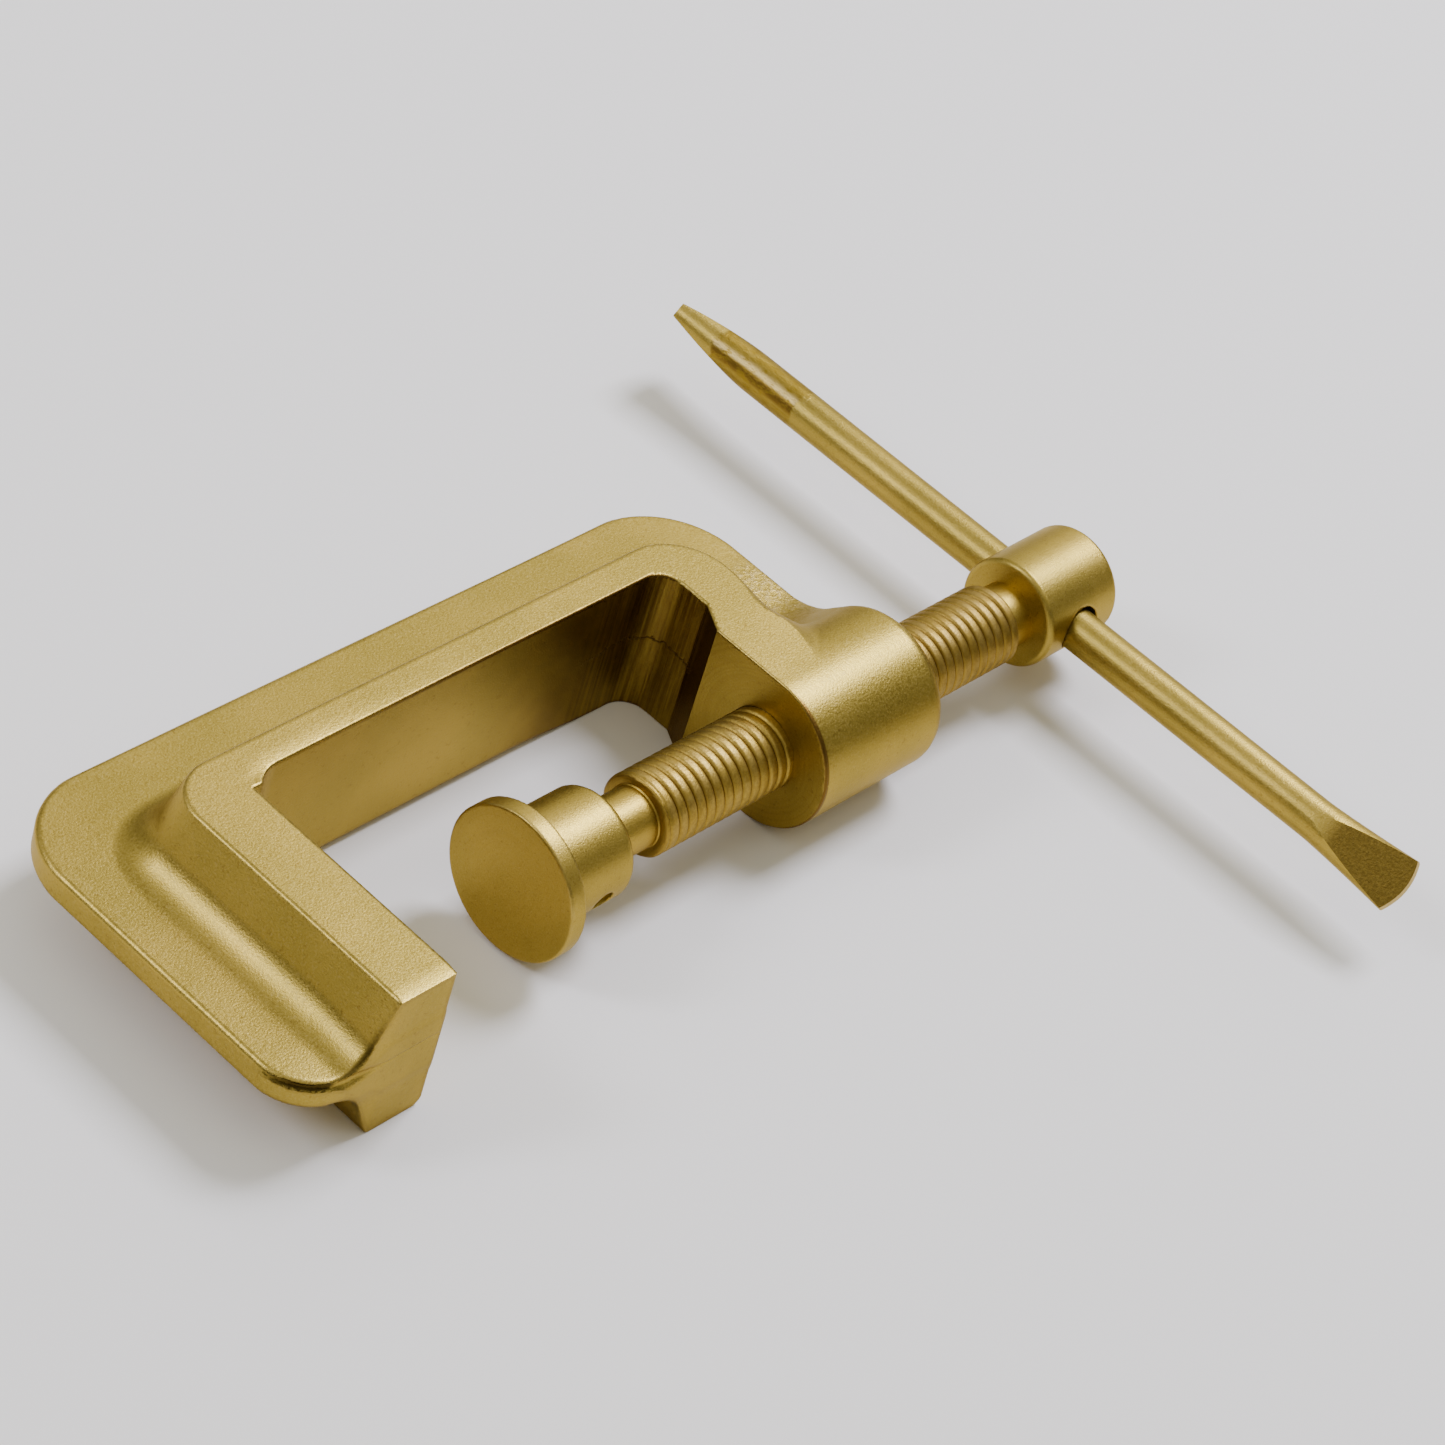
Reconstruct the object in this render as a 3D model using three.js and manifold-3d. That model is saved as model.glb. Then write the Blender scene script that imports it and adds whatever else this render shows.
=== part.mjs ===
// A non-sparking bronze G-clamp (C-clamp), 75 mm jaw opening, lying on its side.
// Units are millimetres. The origin is the centre of the anvil face, on the screw axis.
// +X runs along the screw from the anvil to the head, +Y points from the screw to the spine
// of the frame, and +Z is up, through the width of the frame.

import * as THREE from 'three';
import { mergeVertices } from 'three/addons/utils/BufferGeometryUtils.js';
import Module from 'manifold-3d';

const wasm = await Module();
wasm.setup();

// ---------------------------------------------------------------- driving dimensions

const INCH = 25.4;

// Screw: 5/8 inch, shown by its major diameter.
const THREAD_RADIUS = (5 / 16) * INCH;
const THREAD_CLEARANCE = 0.06;
const THREAD_START = 65.5;
const THREAD_END = 161;
const THREAD_CHAMFER = 0.8;

// Frame: a T section bent into a C. The flange lies round the inside, the web round the outside.
const FRAME_WIDTH = 31;
const ANVIL_TIP_Y = -19.2;
const SPINE_INNER_Y = 32.8;
const SPINE_FLANGE_Y = 39.6;
const SPINE_WEB_Y = 56.8;
const ANVIL_FLANGE_X = -12.5;
const ANVIL_WEB_X = -31;
const ARM_INNER_X = 101.5;
const ARM_FLANGE_X = 112.5;
const ARM_WEB_X = 130;
const WEB_THICKNESS = 6.4;
const WEB_EDGE_RADIUS = 1.3;
const FLANGE_EDGE_RADIUS = 1.2;
const WEB_CORNER_RADIUS = 18;
const WEB_TIP_RADIUS = 11;
const ANVIL_CORNER_RADIUS = 10;
const ARM_CORNER_RADIUS = 7;

// Concave fillet between flange and web: each step is [reach out from the flange, height].
const FILLET_STEPS = [
  { inner: [0, 13], outer: [3.6, 6] },
  { inner: [2.6, 7.4], outer: [8, 3.4] },
];

// Machined faces and the throat between them.
const ANVIL_FACE_TOP_Y = 30.2;
const ANVIL_FILLET_RADIUS = 8;
const ARM_FILLET_RADIUS = 5;
const BOSS_FACE_X = 98;
const BOSS_STEP_FROM_Y = 16;
const BOSS_STEP_TO_Y = 22;

// Boss.
const BOSS_RADIUS = FRAME_WIDTH / 2;
const BOSS_END_X = 131;
const BOSS_END_ROUNDING = 3;

// Swivel pad.
const PAD_FRONT_X = 34.9;
const PAD_RADIUS = 14.6;
const PAD_THICKNESS = 3.6;
const COLLAR_RADIUS = 10.5;
const COLLAR_END_X = 55.2;
const COLLAR_ROUNDING = 1.2;
const SOCKET_FLOOR_X = 40.9;
const SOCKET_CLEARANCE = 0.07;

// Retaining pin: radial, in the collar, with its inner end in the groove of the spindle nose.
const PIN_X = 48.6;
const PIN_RADIUS = 2.2;
const PIN_CLEARANCE = 0.04;
const PIN_INNER = 4.5;
const PIN_OUTER = 9.7;
const PIN_DOME = 0.6;
const PIN_BELOW_HORIZON = THREE.MathUtils.degToRad(17);

// Spindle nose, neck and head.
const NOSE_RADIUS = 5.9;
const NOSE_TIP_X = 41;
const NOSE_CHAMFER = 0.8;
const GROOVE_RADIUS = 4.2;
const GROOVE_HALF_WIDTH = 2.4;
const HEAD_NECK_RADIUS = 6.5;
const HEAD_START_X = 166.4;
const HEAD_END_X = 186.4;
const HEAD_RADIUS = 10.8;
const HEAD_ROUNDING = 1.2;

// Tommy bar. It lies 0.4 mm below the middle of its hole, as a loose bar rests.
const BAR_X = 176;
const BAR_Z = -0.4;
const BAR_RADIUS = 4.1;
const BAR_HOLE_RADIUS = 4.6;
const BAR_NEAR_Y = -89.6;
const BAR_FAR_Y = 95.2;
const SWAGE_LENGTH = 20;
const SWAGE_HALF_WIDTH = 5.6;
const SWAGE_HALF_THICKNESS = 1.7;
const SWAGE_CROWN = 1.4;
const NEAR_FLAT_TILT = THREE.MathUtils.degToRad(45);
const FAR_FLAT_TILT = NEAR_FLAT_TILT + Math.PI / 2;

// Facets.
const ROUND_FACETS = 48;
const SMALL_FACETS = 32;
const ARC_FACETS = 8;
const OVERSHOOT = 20;

// ---------------------------------------------------------------- helpers

function toSolid(geometry) {
  const bare = geometry.clone();
  bare.deleteAttribute('normal');
  bare.deleteAttribute('uv');
  const merged = mergeVertices(bare, 1e-4);
  return new wasm.Manifold(new wasm.Mesh({
    numProp: 3,
    vertProperties: new Float32Array(merged.attributes.position.array),
    triVerts: new Uint32Array(merged.index.array),
  }));
}

function toGeometry(solid) {
  const mesh = solid.getMesh();
  const indexed = new THREE.BufferGeometry();
  indexed.setAttribute('position', new THREE.BufferAttribute(mesh.vertProperties, 3));
  indexed.setIndex(new THREE.BufferAttribute(mesh.triVerts, 1));
  const flat = indexed.toNonIndexed();
  flat.computeVertexNormals();
  return flat;
}

// A closed plan outline through corners [x, y, radius]; a corner without a radius stays sharp.
function roundedOutline(corners) {
  const shape = new THREE.Shape();
  corners.forEach(([x, y, radius = 0], i) => {
    const corner = new THREE.Vector2(x, y);
    const before = new THREE.Vector2(...corners.at(i - 1).slice(0, 2)).sub(corner).normalize();
    const after = new THREE.Vector2(...corners.at((i + 1) % corners.length).slice(0, 2)).sub(corner).normalize();
    const half = Math.acos(THREE.MathUtils.clamp(before.dot(after), -1, 1)) / 2;
    const reach = radius / Math.tan(half);
    const from = corner.clone().addScaledVector(before, reach);
    if (i === 0) shape.moveTo(from.x, from.y);
    else shape.lineTo(from.x, from.y);
    if (radius === 0) return;
    const middle = before.clone().add(after).normalize();
    const centre = corner.clone().addScaledVector(middle, radius / Math.sin(half));
    const to = corner.clone().addScaledVector(after, reach);
    const startAngle = from.sub(centre).angle();
    const endAngle = to.sub(centre).angle();
    const clockwise = before.cross(after) > 0;
    shape.absarc(centre.x, centre.y, radius, startAngle, endAngle, clockwise);
  });
  return shape;
}

// An outline extruded evenly above and below Z = 0. Its edges slope in by bevelSize over bevelHeight.
function slab(shape, height, bevelSize = 0, bevelHeight = 0, bevelSegments = 1) {
  const depth = height - 2 * bevelHeight;
  const geometry = new THREE.ExtrudeGeometry(shape, {
    depth,
    curveSegments: ARC_FACETS,
    bevelEnabled: bevelHeight > 0,
    bevelThickness: bevelHeight,
    bevelSize,
    bevelOffset: -bevelSize,
    bevelSegments,
  });
  geometry.translate(0, 0, -depth / 2);
  return geometry;
}

// A solid of revolution about the X axis, from [x, radius] points that start and end on the axis.
function turned(profile, facets = ROUND_FACETS) {
  const points = profile.map(([x, radius]) => new THREE.Vector2(radius, x));
  const geometry = new THREE.LatheGeometry(points, facets);
  geometry.rotateZ(-Math.PI / 2);
  return geometry;
}

// Profile points of a rounded convex edge, from the cylinder of that radius to the end face at x.
function roundedEnd(x, radius, rounding, direction) {
  const steps = 4;
  return Array.from({ length: steps + 1 }, (_, i) => {
    const angle = (i / steps) * (Math.PI / 2);
    return [
      x - direction * rounding * (1 - Math.sin(angle)),
      radius - rounding * (1 - Math.cos(angle)),
    ];
  });
}

function rodAlongY(radius, length, facets = SMALL_FACETS) {
  return new THREE.CylinderGeometry(radius, radius, length, facets);
}

// ---------------------------------------------------------------- frame

// The region that the clamp leaves open for the work, between the anvil face and the boss face.
function throatOutline() {
  const openY = ANVIL_TIP_Y - OVERSHOOT;
  return roundedOutline([
    [0, openY],
    [BOSS_FACE_X, openY],
    [BOSS_FACE_X, BOSS_STEP_FROM_Y],
    [ARM_INNER_X, BOSS_STEP_TO_Y],
    [ARM_INNER_X, SPINE_INNER_Y, ARM_FILLET_RADIUS],
    [0, SPINE_INNER_Y, ANVIL_FILLET_RADIUS],
  ]);
}

// The cut that machines the anvil face. It stops inside the cast fillet and leaves a small step.
function anvilFaceCut() {
  const height = ANVIL_FACE_TOP_Y - ANVIL_TIP_Y;
  const cut = new THREE.BoxGeometry(ANVIL_FILLET_RADIUS, height, 2 * FRAME_WIDTH);
  cut.translate(ANVIL_FILLET_RADIUS / 2, ANVIL_FACE_TOP_Y - height / 2, 0);
  return cut;
}

// A C-shaped outline: outer corners as given, closed round the inside well within the throat.
function frameOutline({ anvilX, spineY, armX, anvilRadius, armRadius, tipRadius = 0, inset = 3 }) {
  const tipY = ANVIL_TIP_Y - (tipRadius > 0 ? 0 : OVERSHOOT / 2);
  return roundedOutline([
    [inset, tipY],
    [inset, SPINE_INNER_Y - ANVIL_FILLET_RADIUS - inset, 1],
    [ANVIL_FILLET_RADIUS + inset, SPINE_INNER_Y - inset, 1],
    [ARM_INNER_X - ARM_FILLET_RADIUS - inset, SPINE_INNER_Y - inset, 1],
    [BOSS_FACE_X - inset, BOSS_STEP_FROM_Y, 1],
    [BOSS_FACE_X - inset, 0],
    [armX, 0],
    [armX, spineY, armRadius],
    [anvilX, spineY, anvilRadius],
    [anvilX, tipY, tipRadius],
  ]);
}

function flangeOutline(grow = 0) {
  return frameOutline({
    anvilX: ANVIL_FLANGE_X - grow,
    spineY: SPINE_FLANGE_Y + grow,
    armX: ARM_FLANGE_X + grow,
    anvilRadius: ANVIL_CORNER_RADIUS + grow,
    armRadius: ARM_CORNER_RADIUS + grow,
  });
}

function webOutline() {
  return frameOutline({
    anvilX: ANVIL_WEB_X,
    spineY: SPINE_WEB_Y,
    armX: ARM_WEB_X,
    anvilRadius: WEB_CORNER_RADIUS,
    armRadius: WEB_CORNER_RADIUS,
    tipRadius: WEB_TIP_RADIUS,
  });
}

function filletBody({ inner: [innerReach, innerZ], outer: [outerReach, outerZ] }) {
  return slab(flangeOutline(outerReach), 2 * innerZ, outerReach - innerReach, innerZ - outerZ);
}

function bossBody() {
  return turned([
    [BOSS_FACE_X - 3, 0],
    [BOSS_FACE_X - 3, BOSS_RADIUS],
    ...roundedEnd(BOSS_END_X, BOSS_RADIUS, BOSS_END_ROUNDING, 1),
    [BOSS_END_X, 0],
  ]);
}

function frameGeometry() {
  const tipCut = new THREE.BoxGeometry(200, OVERSHOOT, 2 * FRAME_WIDTH);
  tipCut.translate(-80, ANVIL_TIP_Y - OVERSHOOT / 2, 0);
  const bore = rodAlongY(THREAD_RADIUS + THREAD_CLEARANCE, 80, ROUND_FACETS);
  bore.rotateZ(-Math.PI / 2);
  bore.translate(BOSS_END_X - 20, 0, 0);
  let frame = toSolid(slab(flangeOutline(), FRAME_WIDTH, FLANGE_EDGE_RADIUS, FLANGE_EDGE_RADIUS));
  for (const step of FILLET_STEPS) frame = frame.add(toSolid(filletBody(step)));
  frame = frame.add(toSolid(slab(webOutline(), WEB_THICKNESS, WEB_EDGE_RADIUS, WEB_EDGE_RADIUS)));
  frame = frame.add(toSolid(bossBody()));
  frame = frame.subtract(toSolid(slab(throatOutline(), 2 * FRAME_WIDTH)));
  frame = frame.subtract(toSolid(anvilFaceCut()));
  frame = frame.subtract(toSolid(tipCut));
  frame = frame.subtract(toSolid(bore));
  return toGeometry(frame);
}

// ---------------------------------------------------------------- spindle

function spindleGeometry() {
  const profile = [
    [NOSE_TIP_X, 0],
    [NOSE_TIP_X, NOSE_RADIUS - NOSE_CHAMFER],
    [NOSE_TIP_X + NOSE_CHAMFER, NOSE_RADIUS],
    [PIN_X - GROOVE_HALF_WIDTH, NOSE_RADIUS],
    [PIN_X - GROOVE_HALF_WIDTH, GROOVE_RADIUS],
    [PIN_X + GROOVE_HALF_WIDTH, GROOVE_RADIUS],
    [PIN_X + GROOVE_HALF_WIDTH, NOSE_RADIUS],
    [THREAD_START, NOSE_RADIUS],
    [THREAD_START, THREAD_RADIUS - THREAD_CHAMFER],
    [THREAD_START + THREAD_CHAMFER, THREAD_RADIUS],
    [THREAD_END - THREAD_CHAMFER, THREAD_RADIUS],
    [THREAD_END, HEAD_NECK_RADIUS],
    [HEAD_START_X, HEAD_NECK_RADIUS],
    ...roundedEnd(HEAD_START_X, HEAD_RADIUS, HEAD_ROUNDING, -1).reverse(),
    ...roundedEnd(HEAD_END_X, HEAD_RADIUS, HEAD_ROUNDING, 1),
    [HEAD_END_X, 0],
  ];
  const hole = rodAlongY(BAR_HOLE_RADIUS, 4 * HEAD_RADIUS);
  hole.translate(BAR_X, 0, 0);
  return toGeometry(toSolid(turned(profile)).subtract(toSolid(hole)));
}

// ---------------------------------------------------------------- swivel pad and its pin

// A rod on the retaining pin's radial line, between two distances from the screw axis.
function onPinLine(geometry, from, to) {
  geometry.translate(0, -(from + to) / 2, 0);
  geometry.rotateX(PIN_BELOW_HORIZON);
  geometry.translate(PIN_X, 0, 0);
  return geometry;
}

function swivelPadGeometry() {
  const padBack = PAD_FRONT_X + PAD_THICKNESS;
  const socketRadius = NOSE_RADIUS + SOCKET_CLEARANCE;
  const profile = [
    [PAD_FRONT_X, 0],
    [PAD_FRONT_X, PAD_RADIUS],
    [padBack, PAD_RADIUS],
    [padBack, COLLAR_RADIUS],
    ...roundedEnd(COLLAR_END_X, COLLAR_RADIUS, COLLAR_ROUNDING, 1),
    [COLLAR_END_X, socketRadius],
    [SOCKET_FLOOR_X, socketRadius],
    [SOCKET_FLOOR_X, 0],
  ];
  const hole = rodAlongY(PIN_RADIUS + PIN_CLEARANCE, COLLAR_RADIUS, 24);
  onPinLine(hole, PIN_INNER, PIN_INNER + COLLAR_RADIUS);
  return toGeometry(toSolid(turned(profile)).subtract(toSolid(hole)));
}

function retainingPinGeometry() {
  const length = PIN_OUTER - PIN_INNER;
  const profile = [
    new THREE.Vector2(0, -length / 2),
    new THREE.Vector2(PIN_RADIUS * 0.7, -length / 2),
    new THREE.Vector2(PIN_RADIUS, -length / 2 + PIN_DOME),
    new THREE.Vector2(PIN_RADIUS, length / 2),
    new THREE.Vector2(0, length / 2),
  ];
  return onPinLine(new THREE.LatheGeometry(profile, 24), PIN_INNER, PIN_OUTER);
}

// ---------------------------------------------------------------- tommy bar

// Swages one end of a straight bar: flats close in towards the tip while the sides spread out.
function swage(point, tipY, tilt) {
  const inward = Math.sign(-tipY);
  const along = 1 - ((point.y - tipY) * inward) / SWAGE_LENGTH;
  if (along <= 0) return;
  const across = new THREE.Vector3(Math.cos(tilt), 0, Math.sin(tilt));
  const normal = new THREE.Vector3(-Math.sin(tilt), 0, Math.cos(tilt));
  const spread = THREE.MathUtils.lerp(1, SWAGE_HALF_WIDTH / BAR_RADIUS, along ** 1.3);
  const halfThickness = THREE.MathUtils.lerp(BAR_RADIUS, SWAGE_HALF_THICKNESS, along);
  const wide = point.dot(across) * spread;
  const thick = THREE.MathUtils.clamp(point.dot(normal), -halfThickness, halfThickness);
  const crown = SWAGE_CROWN * along ** 6 * (1 - (wide / SWAGE_HALF_WIDTH) ** 2);
  const y = point.y - inward * crown;
  point.copy(across).multiplyScalar(wide).addScaledVector(normal, thick);
  point.y = y;
}

function tommyBarGeometry() {
  const length = BAR_FAR_Y - BAR_NEAR_Y;
  const middle = (BAR_FAR_Y + BAR_NEAR_Y) / 2;
  const swageRings = 6;
  const rings = [0];
  for (let i = 1; i <= swageRings; i += 1) rings.push((i * SWAGE_LENGTH) / swageRings);
  const profile = [new THREE.Vector2(0, 0)];
  for (const ring of rings) profile.push(new THREE.Vector2(BAR_RADIUS, ring));
  for (const ring of rings.toReversed()) profile.push(new THREE.Vector2(BAR_RADIUS, length - ring));
  profile.push(new THREE.Vector2(0, length));
  const geometry = new THREE.LatheGeometry(profile, 24);
  geometry.translate(0, middle - length / 2, 0);
  const positions = geometry.attributes.position;
  const point = new THREE.Vector3();
  for (let i = 0; i < positions.count; i += 1) {
    point.fromBufferAttribute(positions, i);
    if (point.y < 0) swage(point, BAR_NEAR_Y, NEAR_FLAT_TILT);
    else swage(point, BAR_FAR_Y, FAR_FLAT_TILT);
    positions.setXYZ(i, point.x, point.y, point.z);
  }
  geometry.translate(BAR_X, 0, BAR_Z);
  return geometry;
}

// ---------------------------------------------------------------- assembly

function bronze(colour, roughness) {
  return new THREE.MeshStandardMaterial({ color: colour, roughness, metalness: 0.9 });
}

function piece(name, geometry, material) {
  const mesh = new THREE.Mesh(geometry, material);
  mesh.name = name;
  return mesh;
}

const castBronze = bronze(0xa8904c, 0.55);
const turnedBronze = bronze(0xb0924a, 0.35);

const clamp = new THREE.Group();
clamp.add(
  piece('frame', frameGeometry(), castBronze),
  piece('spindle', spindleGeometry(), turnedBronze),
  piece('swivel_pad', swivelPadGeometry(), turnedBronze),
  piece('retaining_pin', retainingPinGeometry(), turnedBronze),
  piece('tommy_bar', tommyBarGeometry(), turnedBronze),
);

export default clamp;
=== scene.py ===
"""A cast bronze G-clamp lying on its side on a pale floor.

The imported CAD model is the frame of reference: +X runs along the screw from the anvil to the head,
+Y from the screw to the spine, +Z up, with the origin on the anvil face. Shapes are worked out in
millimetres, from the boxes of the CAD nodes, and scaled to metres when a mesh is made.
"""

import math

import bmesh
import bpy
import numpy as np
from mathutils import Matrix, Vector


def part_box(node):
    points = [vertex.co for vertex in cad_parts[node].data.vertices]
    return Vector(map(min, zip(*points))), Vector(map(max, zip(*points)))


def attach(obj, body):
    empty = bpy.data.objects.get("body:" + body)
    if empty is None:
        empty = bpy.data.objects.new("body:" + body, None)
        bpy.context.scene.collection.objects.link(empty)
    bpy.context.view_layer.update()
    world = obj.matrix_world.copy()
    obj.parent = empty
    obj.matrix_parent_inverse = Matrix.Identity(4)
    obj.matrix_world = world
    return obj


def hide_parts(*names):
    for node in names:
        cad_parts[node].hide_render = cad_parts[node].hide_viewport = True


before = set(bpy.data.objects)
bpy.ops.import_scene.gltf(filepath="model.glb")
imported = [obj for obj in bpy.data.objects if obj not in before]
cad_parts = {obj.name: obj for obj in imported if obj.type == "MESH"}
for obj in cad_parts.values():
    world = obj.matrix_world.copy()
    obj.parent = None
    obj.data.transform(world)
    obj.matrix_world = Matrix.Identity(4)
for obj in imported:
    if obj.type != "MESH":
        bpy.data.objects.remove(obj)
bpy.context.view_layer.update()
MM = 0.001


def box_mm(node):
    low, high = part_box(node)
    return np.array(low) / MM, np.array(high) / MM


# ------------------------------------------------------------------ driving dimensions, mm

FRAME_LOW, FRAME_HIGH = box_mm("frame")
SPINDLE_LOW, SPINDLE_HIGH = box_mm("spindle")
PAD_LOW, PAD_HIGH = box_mm("swivel_pad")
PIN_LOW, PIN_HIGH = box_mm("retaining_pin")
BAR_LOW, BAR_HIGH = box_mm("tommy_bar")

# Frame: the T section and its outlines in plan.
HALF_WIDTH = FRAME_HIGH[2]
TIP_Y = FRAME_LOW[1]
SPINE_INNER_Y = 32.8
SPINE_FLANGE_Y = 39.6
SPINE_WEB_Y = FRAME_HIGH[1]
ANVIL_FLANGE_X = -12.5
ANVIL_WEB_X = FRAME_LOW[0]
ARM_INNER_X = 101.5
ARM_FLANGE_X = 112.5
ARM_WEB_X = FRAME_HIGH[0]
BOSS_FACE_X = 98.0
BOSS_END_X = FRAME_HIGH[0]
BOSS_START_X = BOSS_FACE_X - 5
BOSS_STEP_Y = (16.0, 22.0)
BOSS_ROUNDING = 3.0
BOSS_BLEND = 9.0
ANVIL_FACE_TOP_Y = 30.2
ANVIL_WALL_DRAFT = 0.45
SPINE_WALL_DRAFT = 0.14
THROAT_SPINE_CORNER = 8.0
THROAT_ARM_CORNER = 5.0
FLANGE_ANVIL_CORNER = 9.5
FLANGE_ARM_CORNER = 12.0
WEB_CORNER = 18.0
WEB_TIP_CORNER = 11.0
WEB_EDGE_HALF = 2.9
WEB_EDGE_ROUNDING = 1.1
WEB_DRAFT = 0.05
SPINE_WEB_LEAN = 0.006
ANVIL_SECTION_FILLET = 4.5
SPINE_SECTION_FILLET = 5.0
LIP_TEAR = 1.05
CROWN_REACH = 3.6
CROWN_DROP = 0.28

# Screw: 5/8 inch by 11 threads per inch.
THREAD_PITCH = 25.4 / 11
THREAD_RADIUS = 25.4 * 5 / 16
THREAD_DEPTH = 0.6
THREAD_START = 65.5
THREAD_END = 161.0
NOSE_RADIUS = 5.9
NOSE_ROUNDING = 0.8
GROOVE_RADIUS = 4.2
GROOVE_HALF_WIDTH = 2.4
HEAD_NECK_RADIUS = 6.3
HEAD_RADIUS = SPINDLE_HIGH[1]
HEAD_START_X = 166.4
HEAD_END_X = SPINDLE_HIGH[0]
HEAD_ROUNDING = 1.2
BORE_RADIUS = THREAD_RADIUS + 0.02

# Pad, pin and bar.
PAD_THICKNESS = 3.6
PAD_ROUNDING = 0.5
COLLAR_RADIUS = 10.5
COLLAR_ROUNDING = 1.8
COLLAR_FILLET = 1.3
SOCKET_FLOOR_X = 40.9
SOCKET_CLEARANCE = 0.07
PIN_X = (PIN_LOW[0] + PIN_HIGH[0]) / 2
PIN_RADIUS = (PIN_HIGH[0] - PIN_LOW[0]) / 2
PIN_INNER, PIN_OUTER = 4.5, 9.7
PIN_CLEARANCE = 0.05
PIN_BELOW_HORIZON = math.radians(17)
BAR_X = 176.0
BAR_Z = -0.4
BAR_RADIUS = 4.1
BAR_HOLE_RADIUS = 4.6
SWAGE_LENGTH = 20.0
SWAGE_HALF_WIDTH = 5.6
NEAR_HALF_THICKNESS = 1.0
FAR_HALF_THICKNESS = 1.5
SWAGE_CROWN = 1.4
GROUND_Y = (64.0, 85.5)
NEAR_FLAT_TILT = math.radians(45)
FAR_FLAT_TILT = NEAR_FLAT_TILT + math.pi / 2

# Grid spacing of the meshes that are made from signed distances.
FRAME_CELL = 0.62
SMALL_CELL = 0.42


# ------------------------------------------------------------------ signed distances, mm


def joined(a, b, radius):
    """Union with a concave fillet where the two surfaces meet."""
    u = np.maximum(radius - a, 0)
    v = np.maximum(radius - b, 0)
    return np.maximum(radius, np.minimum(a, b)) - np.hypot(u, v)


def shared(a, b, radius):
    """Intersection with a rounded convex edge."""
    u = np.maximum(radius + a, 0)
    v = np.maximum(radius + b, 0)
    return np.minimum(-radius, np.maximum(a, b)) + np.hypot(u, v)


def blended(a, b, width):
    """Union that flows from one surface into the other over this width."""
    near = np.maximum(width - np.abs(a - b), 0) / width
    return np.minimum(a, b) - near * near * width / 4


def throat(x, y):
    """Plan distance to the opening between the anvil and the boss, negative inside it."""
    step = np.clip((y - BOSS_STEP_Y[0]) / (BOSS_STEP_Y[1] - BOSS_STEP_Y[0]), 0, 1)
    arm_x = BOSS_FACE_X + (ARM_INNER_X - BOSS_FACE_X) * step
    cast = shared(-x, y - SPINE_INNER_Y, THROAT_SPINE_CORNER)
    cast = shared(cast, x - arm_x, THROAT_ARM_CORNER)
    cutter_reach = 8.0
    machined = np.maximum(np.maximum(-x, y - ANVIL_FACE_TOP_Y), x - cutter_reach)
    return np.minimum(cast, machined)


def crowned(edge):
    """How far the flange's top has dropped near an edge, from the signed distance to that edge."""
    return CROWN_DROP * np.maximum(1 + edge / CROWN_REACH, 0) ** 2


def eased(value, start, end):
    """0 before start and 1 after end, with a smooth step between."""
    t = np.clip((value - start) / (end - start), 0, 1)
    return t * t * (3 - 2 * t)


def flange_distance(x, y, height, arm_side, off_anvil):
    """The broad part of the T section, all round the throat. Its outer walls have draft."""
    depth = HALF_WIDTH - height
    per_slope = 0.92  # brings the steeply drafted wall back to about a true distance
    anvil_wall = (ANVIL_FLANGE_X - ANVIL_WALL_DRAFT * depth - x) * per_slope
    spine_wall = y - SPINE_FLANGE_Y - SPINE_WALL_DRAFT * depth
    arm_wall = x - ARM_FLANGE_X - SPINE_WALL_DRAFT * depth
    flange = shared(anvil_wall, spine_wall, FLANGE_ANVIL_CORNER)
    flange = shared(flange, arm_wall, FLANGE_ARM_CORNER)
    to_boss = arm_side * eased(-y, -26, -12)
    flange = shared(flange, height - HALF_WIDTH, 0.5 + 0.4 * off_anvil + 3.6 * to_boss)
    return np.maximum(flange, np.where(arm_side, -y, TIP_Y - y))


def web_outline(x, y, arm_side):
    """Plan distance to the web, the thin rib round the outside of the flange."""
    spine_wall = y - SPINE_WEB_Y - SPINE_WEB_LEAN * np.maximum(ARM_INNER_X - x, 0)
    outline = shared(ANVIL_WEB_X - x, spine_wall, WEB_CORNER)
    outline = shared(outline, x - ARM_WEB_X, WEB_CORNER)
    tip_side = shared(outline, TIP_Y - y, WEB_TIP_CORNER)
    return np.where(arm_side, np.maximum(outline, 5.0 - y), tip_side)


def web_distance(outline, height):
    """The web, a little thicker away from its rounded edge."""
    half = WEB_EDGE_HALF + WEB_DRAFT * np.clip(-outline, 0, 20)
    return shared(outline, height - half, WEB_EDGE_ROUNDING)


def torn_lip(x, y, z, outline):
    """A groove along the web's edge at the tip, where the casting's flash was broken off."""
    along_tip = eased(-y, -TIP_Y - 12, -TIP_Y - 5)
    off_flange = eased(-x, 2 - ANVIL_FLANGE_X, 7 - ANVIL_FLANGE_X)
    reach = LIP_TEAR * along_tip * off_flange
    return np.hypot(outline, z - WEB_EDGE_HALF + WEB_EDGE_ROUNDING) + 0.3 - reach


def boss_distance(x, radius):
    """The boss as a plain cylinder. The throat cuts its inner end back to the boss face."""
    middle = (BOSS_START_X + BOSS_END_X) / 2
    ends = np.abs(x - middle) - (BOSS_END_X - middle)
    return shared(radius - HALF_WIDTH, ends, BOSS_ROUNDING)


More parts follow.
